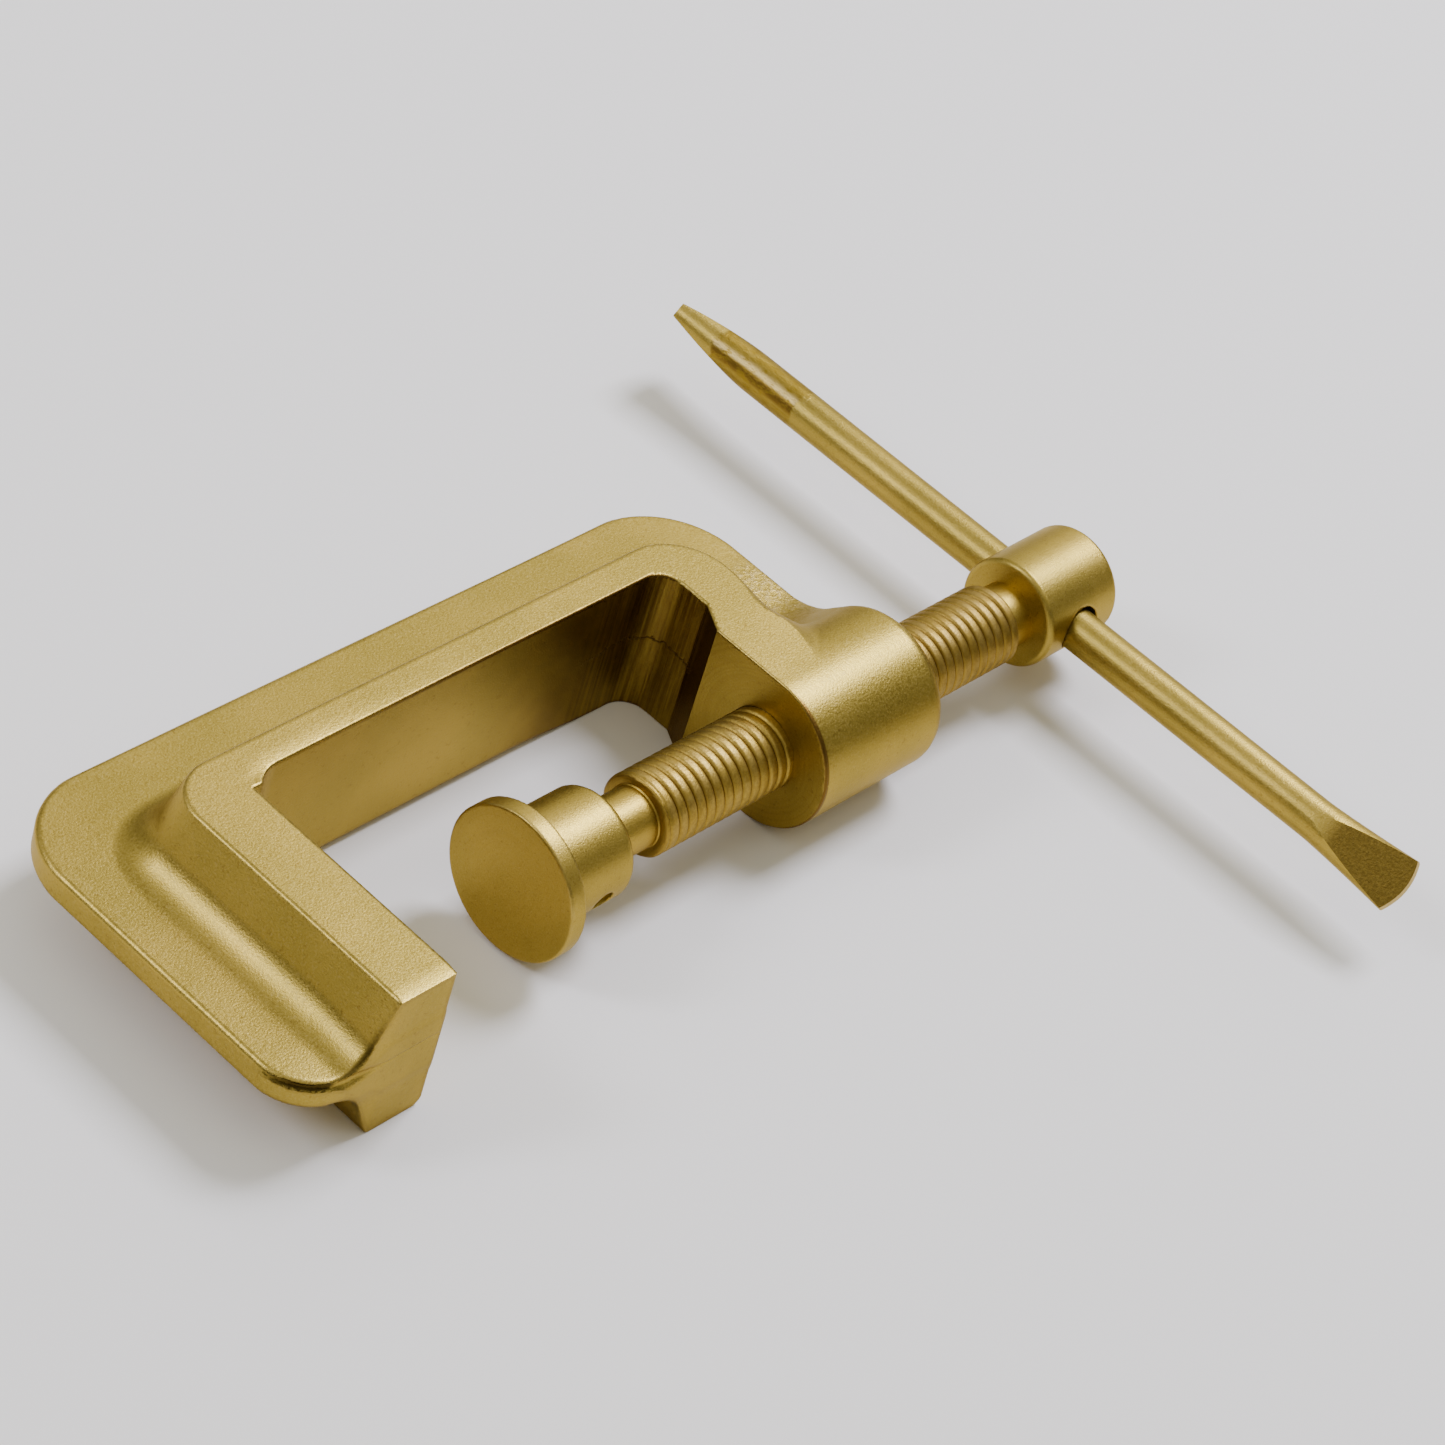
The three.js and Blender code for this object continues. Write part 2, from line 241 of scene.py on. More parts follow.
def top_crown(x, y, wall):
    """How far the upper side is worn down along the throat's spine edge and at the tip."""
    along_spine = eased(y, ANVIL_FACE_TOP_Y, SPINE_INNER_Y) * eased(x, -3, 3) * eased(-x, -65, -5)
    along_tip = eased(-y, -TIP_Y - 8, -TIP_Y - 5)
    return crowned(wall) * along_spine + crowned(TIP_Y - y) * along_tip


def frame_distance(x, y, z):
    height = np.abs(z)
    radius = np.hypot(y, z)
    arm_side = x > (ANVIL_FLANGE_X + ARM_FLANGE_X) / 2
    off_anvil = eased(x, ANVIL_FLANGE_X - 3, 4.0)
    section_fillet = ANVIL_SECTION_FILLET + (SPINE_SECTION_FILLET - ANVIL_SECTION_FILLET) * off_anvil

    flange = flange_distance(x, y, height, arm_side, off_anvil)
    outline = web_outline(x, y, arm_side)
    body = joined(flange, web_distance(outline, height), section_fillet)
    body = shared(body, -torn_lip(x, y, z, outline), 0.15)
    body = blended(body, boss_distance(x, radius), 0.3 + BOSS_BLEND * eased(y, 1, 14))
    body = np.maximum(body, height - HALF_WIDTH)
    body = shared(body, x - BOSS_END_X, 0.3)
    tip_rounding = 0.5 + 0.9 * eased(-x, -ANVIL_FLANGE_X - 1, -ANVIL_FLANGE_X + 3)
    body = shared(body, TIP_Y - y, tip_rounding)

    wall = -throat(x, y)
    body = np.maximum(body, z - HALF_WIDTH + top_crown(x, y, wall))
    body = shared(body, wall, 0.4)
    underside_rounding = 0.4 + 2.2 * eased(-x, -95, -70)
    body = np.maximum(body, shared(wall, -z - HALF_WIDTH, underside_rounding))
    bore = np.where(x > BOSS_START_X, radius - BORE_RADIUS, 1.0)
    return np.maximum(body, -bore)


def head_distance(x, y, z):
    """The drilled head at the end of the spindle."""
    radius = np.hypot(y, z)
    ends = np.maximum(HEAD_START_X - x, x - HEAD_END_X)
    head = shared(radius - HEAD_RADIUS, ends, HEAD_ROUNDING)
    return shared(head, BAR_HOLE_RADIUS - np.hypot(x - BAR_X, z), 0.35)


def pad_distance(x, y, z):
    """The disc and its collar, with the socket for the nose and the pin's hole."""
    radius = np.hypot(y, z)
    disc_ends = np.maximum(PAD_LOW[0] - x, x - PAD_LOW[0] - PAD_THICKNESS)
    disc = shared(radius - PAD_HIGH[1], disc_ends, PAD_ROUNDING)
    collar_ends = np.maximum(PAD_LOW[0] + 1 - x, x - PAD_HIGH[0])
    collar = shared(radius - COLLAR_RADIUS, collar_ends, COLLAR_ROUNDING)
    pad = joined(disc, collar, COLLAR_FILLET)
    socket = np.maximum(radius - NOSE_RADIUS - SOCKET_CLEARANCE, SOCKET_FLOOR_X - x)
    pad = shared(pad, -socket, 0.3)
    side = y * math.sin(PIN_BELOW_HORIZON) - z * math.cos(PIN_BELOW_HORIZON)
    outward = -y * math.cos(PIN_BELOW_HORIZON) - z * math.sin(PIN_BELOW_HORIZON)
    hole = np.maximum(np.hypot(x - PIN_X, side) - PIN_RADIUS - PIN_CLEARANCE, -outward)
    return shared(pad, -hole, 0.2)


# ------------------------------------------------------------------ meshes


def gradient(distance, points):
    """Unit outward normals of a signed distance at each point."""
    reach = 0.02
    slopes = []
    for axis in range(3):
        step = np.zeros(3)
        step[axis] = reach
        ahead, behind = points + step, points - step
        slopes.append(distance(*ahead.T) - distance(*behind.T))
    normals = np.stack(slopes, axis=1)
    return normals / np.maximum(np.linalg.norm(normals, axis=1, keepdims=True), 1e-12)


def sharpness(distance, points, reach=0.8):
    """Positive on convex edges, negative in concave ones, and 0 on flat faces."""
    total = 0
    for axis in range(3):
        step = np.zeros(3)
        step[axis] = reach
        total = total + distance(*(points + step).T) + distance(*(points - step).T)
    return total / 6 / reach


def crossings(distance, values, axes, axis):
    """Where the surface cuts the grid's edges along one axis.

    Returns the lower node of each cut edge, the point of the cut, and whether that node is inside.
    """
    low = np.delete(values, -1, axis=axis)
    high = np.delete(values, 0, axis=axis)
    changes = (low < 0) != (high < 0)
    for other in range(3):
        if other != axis:
            changes = np.delete(changes, [0, changes.shape[other] - 1], axis=other)
    nodes = np.argwhere(changes)
    nodes += [0 if other == axis else 1 for other in range(3)]
    a, b = low[tuple(nodes.T)], high[tuple(nodes.T)]
    cell = axes[0][1] - axes[0][0]
    start = np.stack([axes[k][nodes[:, k]] for k in range(3)], axis=1)
    t_a, t_b = np.zeros(len(a)), np.ones(len(a))
    inside = a < 0
    for _ in range(4):
        t = t_a + (t_b - t_a) * a / (a - b)
        points = start.copy()
        points[:, axis] += t * cell
        value = distance(*points.T)
        same = (value < 0) == (a < 0)
        t_a, a = np.where(same, t, t_a), np.where(same, value, a)
        t_b, b = np.where(same, t_b, t), np.where(same, b, value)
    return nodes, points, inside


def contoured(name, distance, low, high, cell):
    """A mesh of the surface where distance is 0, by dual contouring, which keeps crisp edges."""
    axes = [np.arange(low[k] - 1.63 * cell, high[k] + 2.5 * cell, cell) for k in range(3)]
    values = distance(*np.meshgrid(*axes, indexing="ij"))
    shape = values.shape
    quads, points, normals = [], [], []
    for axis in range(3):
        nodes, found, inside = crossings(distance, values, axes, axis)
        b, c = np.eye(3, dtype=int)[(axis + 1) % 3], np.eye(3, dtype=int)[(axis + 2) % 3]
        ring = np.stack([nodes, nodes - b, nodes - b - c, nodes - c], axis=1)
        ring[~inside] = ring[~inside][:, ::-1]
        quads.append(np.ravel_multi_index(tuple(np.moveaxis(ring, 2, 0)), shape))
        points.append(found)
        normals.append(gradient(distance, found))
    quads, points, normals = map(np.concatenate, (quads, points, normals))
    cells, quads_flat = np.unique(quads, return_inverse=True)
    quads = quads_flat.reshape(-1, 4)
    vertices = fitted_vertices(cells, shape, axes, quads, points, normals)
    centres = vertices[quads].mean(axis=1, keepdims=True)
    corners = (vertices[quads] * 0.8 + centres * 0.2).reshape(-1, 3)
    piece = made(name, vertices, quads, gradient(distance, corners))
    edges = piece.data.attributes.new("edge", "FLOAT", "POINT")
    edges.data.foreach_set("value", sharpness(distance, vertices))
    return piece


def fitted_vertices(cells, shape, axes, quads, points, normals):
    """One vertex in each cell, where the planes through its surface crossings meet."""
    owner = quads.ravel()
    count = np.bincount(owner)
    spread = np.repeat(points, 4, axis=0), np.repeat(normals, 4, axis=0)
    middle = np.stack([np.bincount(owner, spread[0][:, k]) / count for k in range(3)], axis=1)
    offset = np.einsum("ij,ij->i", spread[1], spread[0] - middle[owner])
    matrix = np.zeros((len(count), 3, 3))
    right = np.zeros((len(count), 3))
    for i in range(3):
        right[:, i] = np.bincount(owner, spread[1][:, i] * offset)
        for j in range(3):
            matrix[:, i, j] = np.bincount(owner, spread[1][:, i] * spread[1][:, j])
    matrix += 0.05 * np.eye(3)
    vertices = middle + np.linalg.solve(matrix, right[:, :, None])[:, :, 0]
    corner = np.stack(np.unravel_index(cells, shape), axis=1)
    low = np.stack([axes[k][corner[:, k]] for k in range(3)], axis=1)
    return np.clip(vertices, low, low + (axes[0][1] - axes[0][0]))


def made(name, vertices, faces, corner_normals=None):
    """A smooth-shaded object from millimetre vertices."""
    mesh = bpy.data.meshes.new(name)
    mesh.from_pydata((np.asarray(vertices) * MM).tolist(), [], [list(map(int, f)) for f in faces])
    mesh.polygons.foreach_set("use_smooth", [True] * len(mesh.polygons))
    if corner_normals is None:
        mesh.set_sharp_from_angle(angle=math.radians(32))
    else:
        mesh.normals_split_custom_set(corner_normals.tolist())
    mesh.validate(clean_customdata=False)
    mesh.update()
    piece = bpy.data.objects.new(name, mesh)
    bpy.context.scene.collection.objects.link(piece)
    return piece


def ringed(name, rings, caps=None, closing=None):
    """A closed skin over rings of points, each ring with the same number of points.

    The caps are faces that close the two ends, and are flat polygons if they are not given. Closing
    says which ring the last point of each ring runs on into: its own, unless the rings are a helix.
    """
    rings = np.asarray(rings)
    count, around = rings.shape[:2]
    vertices = rings.reshape(-1, 3)
    index = np.arange(count * around).reshape(count, around)
    first = index[:, 0] if closing is None else index[closing, 0]
    index = np.concatenate([index, first[:, None]], axis=1)
    corners = [index[:-1, :-1], index[:-1, 1:], index[1:, 1:], index[1:, :-1]]
    faces = np.stack(corners, axis=2).reshape(-1, 4).tolist()
    if caps is None:
        caps = [list(range(around))[::-1], [(count - 1) * around + n for n in range(around)]]
    return made(name, vertices, faces + caps)


def ruled_cap(first, mirror, around, outward):
    """Faces across an arched end, from each ring point p to its mirror point (mirror - p)."""
    start = mirror // 2 - around // 2
    faces = []
    for p in range(start, start + around // 2):
        corners = [first + q % around for q in (p, p + 1, mirror - p - 1, mirror - p)]
        faces.append(list(dict.fromkeys(corners))[::outward])
    return faces


def turned_rings(profile, around):
    """Rings about the X axis from (x, radius) points."""
    angles = np.linspace(0, 2 * math.pi, around, endpoint=False)
    return [
        np.stack([np.full(around, x), radius * np.cos(angles), radius * np.sin(angles)], axis=1)
        for x, radius in profile
    ]


def rounded_start(x, radius, rounding):
    """Profile points of a rounded edge, from the end face at x to the cylinder."""
    angles = np.linspace(0, math.pi / 2, 6)[::-1]
    return [
        (x + rounding * (1 - math.sin(a)), radius - rounding * (1 - math.cos(a)))
        for a in angles
    ]


def thread_height(phase):
    """Height of the thread over its root, from 0 to 1: a broad rounded crest and a narrow root."""
    from_crest = 2 * np.abs((phase % 1.0) - 0.5)
    return 1 - from_crest**5


def threaded_rings(around, per_turn):
    """Rings of a right-hand thread. Rows follow the helix, and the ends are cut square.

    A short plain land comes before the first root, and both ends are chamfered.
    """
    turns = (THREAD_END - THREAD_START) / THREAD_PITCH
    rows = np.arange(0, (turns + 2) * per_turn + 1)[:, None] / per_turn
    lead = np.arange(around)[None, :] / around
    cut = np.clip(rows + lead, 1, turns + 1)
    x = THREAD_START + (cut - 1) * THREAD_PITCH
    root = THREAD_RADIUS - THREAD_DEPTH
    land = np.clip(1.6 - (x - THREAD_START), 0, 1)
    height = thread_height(cut - lead)
    radius = root + THREAD_DEPTH * np.maximum(height, 0.75 * land)
    from_end = np.minimum(x - THREAD_START, THREAD_END - x)
    radius = np.minimum(radius, root + 1.2 * from_end)
    angle = 2 * math.pi * lead + np.zeros_like(x)
    return np.stack([x, radius * np.cos(angle), radius * np.sin(angle)], axis=2)


def merged(piece, distance=1e-7):
    """Welds the points that lie on each other."""
    work = bmesh.new()
    work.from_mesh(piece.data)
    bmesh.ops.remove_doubles(work, verts=work.verts, dist=distance)
    bmesh.ops.dissolve_degenerate(work, edges=work.edges, dist=distance)
    work.to_mesh(piece.data)
    work.free()
    return piece


def bar_ring(s, tip_y, inward, tilt, tip_thickness, bulge, around=48):
    """One ring of the tommy bar, a distance s in from the tip. Its flats widen towards the tip."""
    along = max(0.0, 1 - s / SWAGE_LENGTH)
    wide = BAR_RADIUS + (SWAGE_HALF_WIDTH - BAR_RADIUS) * along**1.3
    thick = BAR_RADIUS + (tip_thickness - BAR_RADIUS) * along**bulge
    plain = 10 + 35 * eased(s, SWAGE_LENGTH, SWAGE_LENGTH + 25)
    cut = max(math.acos(min(1.0, thick / BAR_RADIUS)), math.radians(plain))
    quarter = around // 4
    flat = np.linspace(math.pi / 2 - cut, math.pi / 2 + cut, quarter, endpoint=False)
    side = np.linspace(math.pi / 2 + cut, 3 * math.pi / 2 - cut, quarter, endpoint=False)
    angles = np.concatenate([flat, side, flat + math.pi, side + math.pi])
    u = wide * np.cos(angles)
    v = np.clip(BAR_RADIUS * np.sin(angles), -thick, thick)
    crown = SWAGE_CROWN * along**6 * (1 - (u / SWAGE_HALF_WIDTH) ** 2)
    y = tip_y + inward * (s - crown)
    x = u * math.cos(tilt) - v * math.sin(tilt)
    z = u * math.sin(tilt) + v * math.cos(tilt)
    return np.stack([x + BAR_X, y, z + BAR_Z], axis=1)


# ------------------------------------------------------------------ pieces


def frame_piece():
    return contoured("frame_casting", frame_distance, FRAME_LOW, FRAME_HIGH, FRAME_CELL)


def screw_piece():
    """One turned skin: the nose with the pin's groove, the thread, and the neck into the head."""
    nose = [(SPINDLE_LOW[0], 0.01), *rounded_start(SPINDLE_LOW[0], NOSE_RADIUS, NOSE_ROUNDING)]
    groove = [PIN_X - GROOVE_HALF_WIDTH, PIN_X + GROOVE_HALF_WIDTH]
    shank = [
        (groove[0], NOSE_RADIUS),
        (groove[0], GROOVE_RADIUS),
        (groove[1], GROOVE_RADIUS),
        (groove[1], NOSE_RADIUS),
        (THREAD_START - 0.25, NOSE_RADIUS),
        (THREAD_START, NOSE_RADIUS + 0.2),
    ]
    neck = [(THREAD_END, HEAD_NECK_RADIUS), (HEAD_START_X + 1.5, HEAD_NECK_RADIUS)]
    around, per_turn = 72, 10
    before = turned_rings(nose + shank, around)
    thread = threaded_rings(around, per_turn)
    after = turned_rings(neck, around)
    closing = np.arange(len(before) + len(thread) + len(after))
    in_thread = slice(len(before), len(before) + len(thread))
    last = in_thread.stop - 1
    closing[in_thread] = np.minimum(closing[in_thread] + per_turn, last)
    return merged(ringed("spindle_screw", np.concatenate([before, thread, after]), closing=closing))


def head_piece():
    low = [HEAD_START_X, -HEAD_RADIUS, -HEAD_RADIUS]
    high = [HEAD_END_X, HEAD_RADIUS, HEAD_RADIUS]
    return contoured("spindle_head", head_distance, low, high, SMALL_CELL)


def pad_piece():
    return contoured("pad_body", pad_distance, PAD_LOW, PAD_HIGH, SMALL_CELL)


def pin_piece():
    """A dowel with a chamfered inner end and a domed outer end, turned into the collar's hole."""
    profile = [(PIN_INNER, 0.01), (PIN_INNER, PIN_RADIUS - 0.3), (PIN_INNER + 0.3, PIN_RADIUS)]
    dome = np.linspace(0, math.pi / 2, 7)[:-1]
    profile += [
        (PIN_OUTER - 0.6 + 0.6 * math.sin(a), PIN_RADIUS * math.cos(a) ** 0.6) for a in dome
    ]
    profile.append((PIN_OUTER, 0.01))
    piece = ringed("pin_dowel", turned_rings(profile, 32))
    line = Vector((0, -math.cos(PIN_BELOW_HORIZON), -math.sin(PIN_BELOW_HORIZON)))
    turn = Vector((1, 0, 0)).rotation_difference(line).to_matrix().to_4x4()
    piece.data.transform(Matrix.Translation((PIN_X * MM, 0, 0)) @ turn)
    return piece


def bar_piece():
    """A round bar with swaged ends. Its rings run from the far end to the near end."""
    swaged = np.linspace(0, 1, 26) ** 1.2 * SWAGE_LENGTH
    middle = (BAR_HIGH[1] - BAR_LOW[1]) / 2
    stations = np.concatenate([swaged, np.linspace(SWAGE_LENGTH, middle, 18)[1:]])
    near_tip = BAR_LOW[1] + SWAGE_CROWN + 0.3
    far_tip = BAR_HIGH[1] - 2 * SWAGE_CROWN
    near = [bar_ring(s, near_tip, 1, NEAR_FLAT_TILT, NEAR_HALF_THICKNESS, 1.25) for s in stations]
    far = [bar_ring(s, far_tip, -1, FAR_FLAT_TILT, FAR_HALF_THICKNESS, 1.7) for s in stations]
    around = len(near[0])
    quarter = around // 4
    rings = [np.roll(ring, quarter, axis=0) for ring in far[:-2]] + near[::-1]
    last = (len(rings) - 1) * around
    caps = ruled_cap(0, quarter, around, -1) + ruled_cap(last, 3 * quarter, around, 1)
    return ringed("tommy_rod", rings, caps)


# ------------------------------------------------------------------ materials


class Nodes:
    """A node tree. Each method adds one node, or a short chain, and returns its output."""

    def __init__(self, owner):
        owner.use_nodes = True
        self.tree = owner.node_tree

    def add(self, kind, inputs, output=0, **settings):
        node = self.tree.nodes.new("ShaderNode" + kind)
        for key, value in settings.items():
            setattr(node, key, value)
        for socket, value in inputs.items():
            if isinstance(value, bpy.types.NodeSocket):
                self.tree.links.new(value, node.inputs[socket])
            else:
                node.inputs[socket].default_value = value
        return node.outputs[output]

    def math(self, operation, a, b=0.0):
        return self.add("Math", {0: a, 1: b}, operation=operation)

    def vector(self, operation, a, b=None, output=0, **named):
        inputs = {0: a, **named}
        if b is not None:
            inputs[1] = b
        return self.add("VectorMath", inputs, output, operation=operation)


class Metal(Nodes):
    """A bronze material. Lengths given to its patterns are millimetres in the CAD frame at rest."""

    def __init__(self, name):
        self.material = bpy.data.materials.new(name)
        super().__init__(self.material)
        self.shader = self.tree.nodes["Principled BSDF"]
        self.shader.inputs["Metallic"].default_value = 1.0
        self.shader.inputs["Specular Tint"].default_value = GRAZING_TINT
        coordinates = self.tree.nodes.new("ShaderNodeTexCoord")
        self.place = self.vector("SCALE", coordinates.outputs["Object"], Scale=1 / MM)
        self.facing = coordinates.outputs["Normal"]
        slopes = self.tree.nodes.new("ShaderNodeSeparateXYZ")
        self.tree.links.new(self.facing, slopes.inputs[0])
        self.facing_x, self.facing_y, self.facing_z = slopes.outputs
        parts = self.tree.nodes.new("ShaderNodeSeparateXYZ")
        self.tree.links.new(self.place, parts.inputs[0])
        self.x, self.y, self.z = parts.outputs
        self.radius = self.math("SQRT", self.math("ADD", self.squared(self.y), self.squared(self.z)))

    def squared(self, value):
        return self.math("MULTIPLY", value, value)

    def stretched(self, x, y, z):
        """The place, with each axis scaled, so that a pattern is stretched along the small ones."""
        return self.vector("MULTIPLY", self.place, (x, y, z))

    def lathe_marks(self):
        """Coordinates in which noise makes fine rings about the screw axis."""
        angle = self.math("ARCTAN2", self.y, self.z)
        slow = self.math("MULTIPLY", angle, 0.12)
        return self.add("CombineXYZ", {0: self.x, 1: self.radius, 2: slow})

    def noise(self, size, place=None, detail=3.0, roughness=0.55):
        """Noise with features of about this size."""
        inputs = {
            "Vector": self.place if place is None else place,
            "Scale": 1 / size,
            "Detail": detail,
            "Roughness": roughness,
        }
        return self.add("TexNoise", inputs)

    def between(self, value, low, high, to_low=0.0, to_high=1.0):
        """Maps low..high smoothly to to_low..to_high and holds it outside."""
        inputs = {0: value, 1: low, 2: high, 3: to_low, 4: to_high}
        return self.add("MapRange", inputs, interpolation_type="SMOOTHSTEP")

    def product(self, *values):
        result = values[0]
        for value in values[1:]:
            result = self.math("MULTIPLY", result, value)
        return result

    def inside(self, value, low, high, soft):
        """1 where low < value < high, fading over a soft border."""
        rise = self.between(value, low - soft, low + soft)
        fall = self.between(value, high - soft, high + soft, 1.0, 0.0)
        return self.math("MULTIPLY", rise, fall)

    def blend(self, factor, a, b):
        """Mixes two colours, each a socket or a named (red, green, blue)."""
        first, second = [(*c, 1.0) if isinstance(c, tuple) else c for c in (a, b)]
        return self.add("Mix", {0: factor, 6: first, 7: second}, output=2, data_type="RGBA")

    def attribute(self, name):
        node = self.tree.nodes.new("ShaderNodeAttribute")
        node.attribute_name = name
        return node.outputs["Fac"]

    def upward(self):
        """How far the surface faces up or down, from 0 on a wall to 1 on a flat."""
        return self.math("ABSOLUTE", self.facing_z)

    def across(self, tilt):
        """1 on flats that face across the bar at this tilt."""
        aim = (-math.sin(tilt), 0.0, math.cos(tilt))
        along = self.vector("DOT_PRODUCT", self.facing, aim, output="Value")
        return self.between(self.math("ABSOLUTE", along), 0.86, 0.97)

    def relief(self, height, depth, below=None):
        """Bump from a 0 to 1 height, this many millimetres deep, on top of an earlier bump."""
        inputs = {"Height": height, "Distance": depth * MM, "Strength": 1.0}
        if below is not None:
            inputs["Normal"] = below
        return self.add("Bump", inputs)

    def finished(self, colour, roughness, normal):
        self.tree.links.new(colour, self.shader.inputs["Base Color"])
        self.tree.links.new(roughness, self.shader.inputs["Roughness"])
        self.tree.links.new(normal, self.shader.inputs["Normal"])
        return self.material


GRAZING_TINT = (0.86, 0.80, 0.66, 1.0)
OLIVE = (0.370, 0.262, 0.041)
GOLD = (0.440, 0.306, 0.050)
PALE = (0.52, 0.38, 0.12)
BROWN = (0.22, 0.128, 0.020)
YELLOW = (0.43, 0.285, 0.040)
SCRATCHED = (0.25, 0.158, 0.013)
DIRT = (0.10, 0.058, 0.009)
UMBER = (0.11, 0.050, 0.009)
NEAR_BLACK = (0.035, 0.019, 0.004)


def blasted_skin(m, low=OLIVE, high=GOLD, grain=0.4):
    """The satin, bead-blasted skin that every part has: (colour, roughness, bump)."""
    clouds = m.noise(22.0, detail=3.0)
    fine = m.noise(grain, detail=2.0, roughness=0.6)
    pores = m.noise(grain * 2.6, detail=3.0, roughness=0.7)
    colour = m.blend(m.between(clouds, 0.35, 0.65), low, high)
    colour = m.blend(m.between(fine, 0.50, 0.72, 0.0, 0.34), colour, PALE)
    colour = m.blend(m.between(fine, 0.28, 0.48, 0.34, 0.0), colour, BROWN)
    colour = m.blend(m.between(pores, 0.30, 0.40, 0.5, 0.0), colour, BROWN)
    roughness = m.between(fine, 0.3, 0.7, 0.34, 0.44)
    bump = m.relief(fine, 0.05)
    bump = m.relief(m.noise(1.5, detail=2.0), 0.015, bump)
    return colour, roughness, bump


def worn_edges_and_crease_shade(m, colour, roughness, amount=0.30):
    """Convex edges rubbed bright and smooth, and painted shade in the inside corners."""
    edge = m.attribute("edge")
    broken = m.between(m.noise(2.5), 0.35, 0.6, 0.3, 1.0)
    rubbed = m.product(m.between(edge, 0.06, 0.30), broken, amount)
    colour = m.blend(rubbed, colour, PALE)
    # painted shade in concave creases and inside corners
    colour = m.blend(m.between(edge, -0.25, -0.04, 0.35, 0.0), colour, BROWN)
    roughness = m.math("SUBTRACT", roughness, m.product(rubbed, 0.08))
    return colour, roughness


